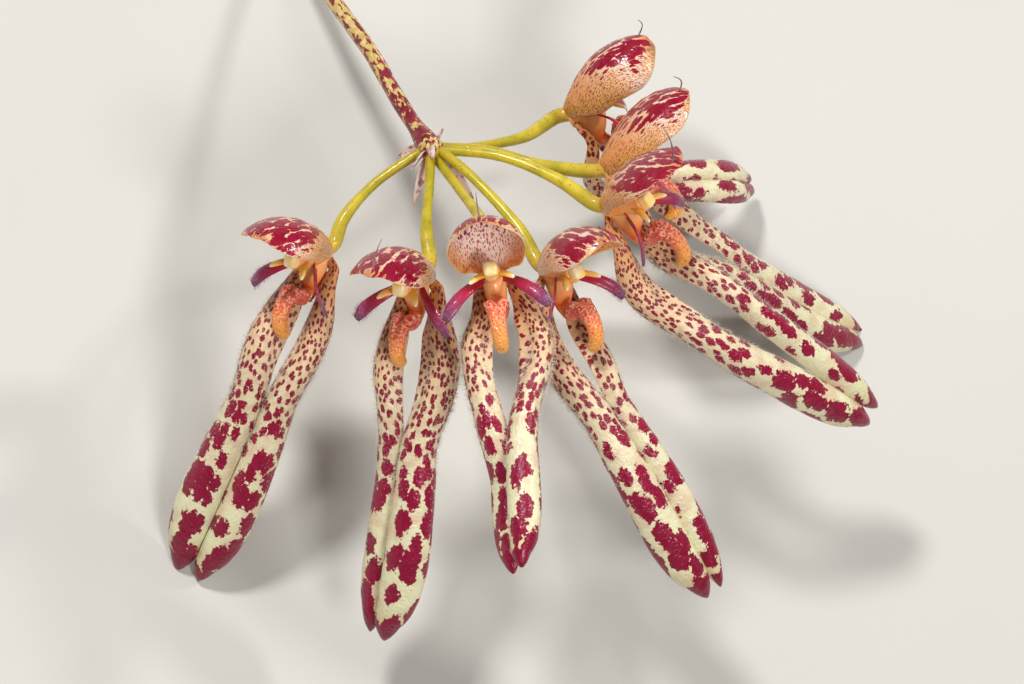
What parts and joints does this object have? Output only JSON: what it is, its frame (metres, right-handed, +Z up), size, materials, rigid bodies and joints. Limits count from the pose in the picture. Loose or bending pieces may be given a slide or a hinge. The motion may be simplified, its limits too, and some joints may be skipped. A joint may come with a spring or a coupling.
{
  "type": "bulbophyllum orchid umbel",
  "caption": "Cut umbel of a bulbophyllum orchid with hooded heads and long paired spotted sepals, lying on a surface.",
  "frame": {"origin": "centre of the bounding box's bottom, on the surface that the umbel lies on", "axes": "+Z up from the surface, +Y towards the cut end of the flower stalk, +X across the fan of flowers"},
  "size_m": [0.0923, 0.0989, 0.0568],
  "materials": {
    "peduncle": "satin, yellow-green with long crimson-brown blotches",
    "pedicel": "satin, yellow with tiny speckles",
    "column": "glossy, peach with a pale yellow cap",
    "dorsal_sepal": "glossy, crimson on peach with fine dots",
    "petal": "satin, crimson to dusky purple",
    "lip": "glossy, red-orange with a yellow tip",
    "lateral_sepal": "glossy, cream with crimson blotches"
  },
  "bodies": {
    "root": {"peduncle": "peduncle", "flower_1_pedicel": "pedicel", "flower_1_column": "column", "flower_1_dorsal_sepal": "dorsal_sepal", "flower_1_petal_left": "petal", "flower_1_petal_right": "petal", "flower_1_lip": "lip", "flower_1_lateral_sepal_left": "lateral_sepal", "flower_1_lateral_sepal_right": "lateral_sepal", "flower_2_pedicel": "pedicel", "flower_2_column": "column", "flower_2_dorsal_sepal": "dorsal_sepal", "flower_2_petal_left": "petal", "flower_2_petal_right": "petal", "flower_2_lip": "lip", "flower_2_lateral_sepal_left": "lateral_sepal", "flower_2_lateral_sepal_right": "lateral_sepal", "flower_3_pedicel": "pedicel", "flower_3_column": "column", "flower_3_dorsal_sepal": "dorsal_sepal", "flower_3_petal_left": "petal", "flower_3_petal_right": "petal", "flower_3_lip": "lip", "flower_3_lateral_sepal_left": "lateral_sepal", "flower_3_lateral_sepal_right": "lateral_sepal", "flower_4_pedicel": "pedicel", "flower_4_column": "column", "flower_4_dorsal_sepal": "dorsal_sepal", "flower_4_petal_left": "petal", "flower_4_petal_right": "petal", "flower_4_lip": "lip", "flower_4_lateral_sepal_left": "lateral_sepal", "flower_4_lateral_sepal_right": "lateral_sepal", "flower_5_pedicel": "pedicel", "flower_5_column": "column", "flower_5_dorsal_sepal": "dorsal_sepal", "flower_5_petal_left": "petal", "flower_5_petal_right": "petal", "flower_5_lip": "lip", "flower_5_lateral_sepal_left": "lateral_sepal", "flower_5_lateral_sepal_right": "lateral_sepal", "flower_6_pedicel": "pedicel", "flower_6_column": "column", "flower_6_dorsal_sepal": "dorsal_sepal", "flower_6_petal_left": "petal", "flower_6_petal_right": "petal", "flower_6_lip": "lip", "flower_6_lateral_sepal_left": "lateral_sepal", "flower_6_lateral_sepal_right": "lateral_sepal", "flower_7_pedicel": "pedicel", "flower_7_column": "column", "flower_7_dorsal_sepal": "dorsal_sepal", "flower_7_petal_left": "petal", "flower_7_petal_right": "petal", "flower_7_lip": "lip", "flower_7_lateral_sepal_left": "lateral_sepal", "flower_7_lateral_sepal_right": "lateral_sepal"}
  },
  "joints": []
}
